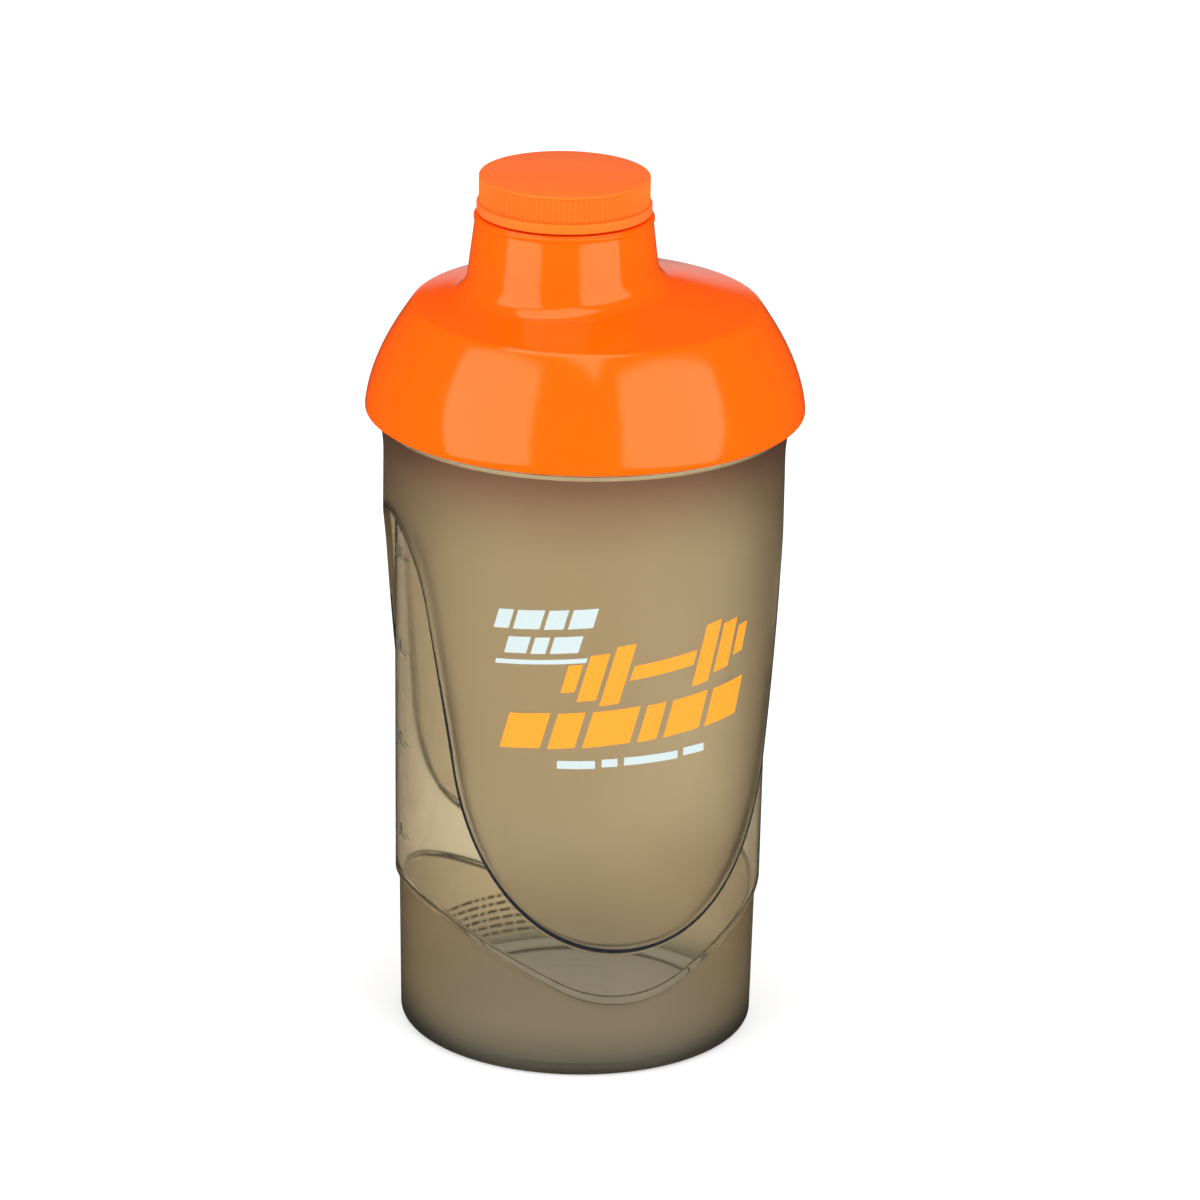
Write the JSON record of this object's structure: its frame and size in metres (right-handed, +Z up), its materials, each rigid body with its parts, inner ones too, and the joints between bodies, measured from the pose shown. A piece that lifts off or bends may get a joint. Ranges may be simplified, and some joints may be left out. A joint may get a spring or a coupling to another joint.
{
  "type": "protein shaker bottle",
  "caption": "Shaker bottle with a smoked wave-panelled cup, a domed screw lid with an offset neck, a strainer and a ribbed screw cap.",
  "frame": {"origin": "centre of the foot's resting face, at the bottom of the cup", "axes": "+Z up along the cup's axis; the cup's printed front panel faces -Y; the lid's neck is offset towards -X"},
  "size_m": [0.1, 0.1, 0.2034],
  "materials": {
    "cup_smoke": "smoked see-through polypropylene, frosted panels and clear glossy windows",
    "lid_orange": "glossy moulded polypropylene",
    "cap_orange": "fine-grained matte polypropylene",
    "strainer_orange": "satin moulded polypropylene",
    "seal": "soft milky silicone",
    "liner": "white foamed liner",
    "print_orange": "orange print",
    "print_pale": "pale print",
    "print_grey": "grey print"
  },
  "bodies": {
    "cup_body": {"cup": "cup_smoke"},
    "seal_body": {"lid_gasket": "seal"},
    "lid_body": {"lid": "lid_orange"},
    "strainer_body": {"strainer": "strainer_orange"},
    "liner_body": {"cap_liner": "liner"},
    "cap_body": {"spout_cap": "cap_orange"}
  },
  "joints": [
    {"name": "lid_rise", "type": "slide", "parent": "cup_body", "child": "seal_body", "axis": [0, 0, 1], "range_m": [0, 0.0041]},
    {"name": "lid_turn", "type": "hinge", "parent": "seal_body", "child": "lid_body", "pos_m": [0, 0, 0.155], "axis": [0, 0, 1], "range_deg": [0, 360]},
    {"name": "strainer_drop", "type": "slide", "parent": "lid_body", "child": "strainer_body", "axis": [0, 0, -1], "range_m": [0, 0.012]},
    {"name": "cap_rise", "type": "slide", "parent": "lid_body", "child": "liner_body", "axis": [0, 0, 1], "range_m": [0, 0.0031]},
    {"name": "cap_turn", "type": "hinge", "parent": "liner_body", "child": "cap_body", "pos_m": [-0.0056, 0, 0.199], "axis": [0, 0, 1], "range_deg": [0, 360]}
  ],
  "couplings": [
    {"joint": "lid_rise", "follows": "lid_turn", "m_per_rad": 0.00063662},
    {"joint": "cap_rise", "follows": "cap_turn", "m_per_rad": 0.00047746}
  ]
}
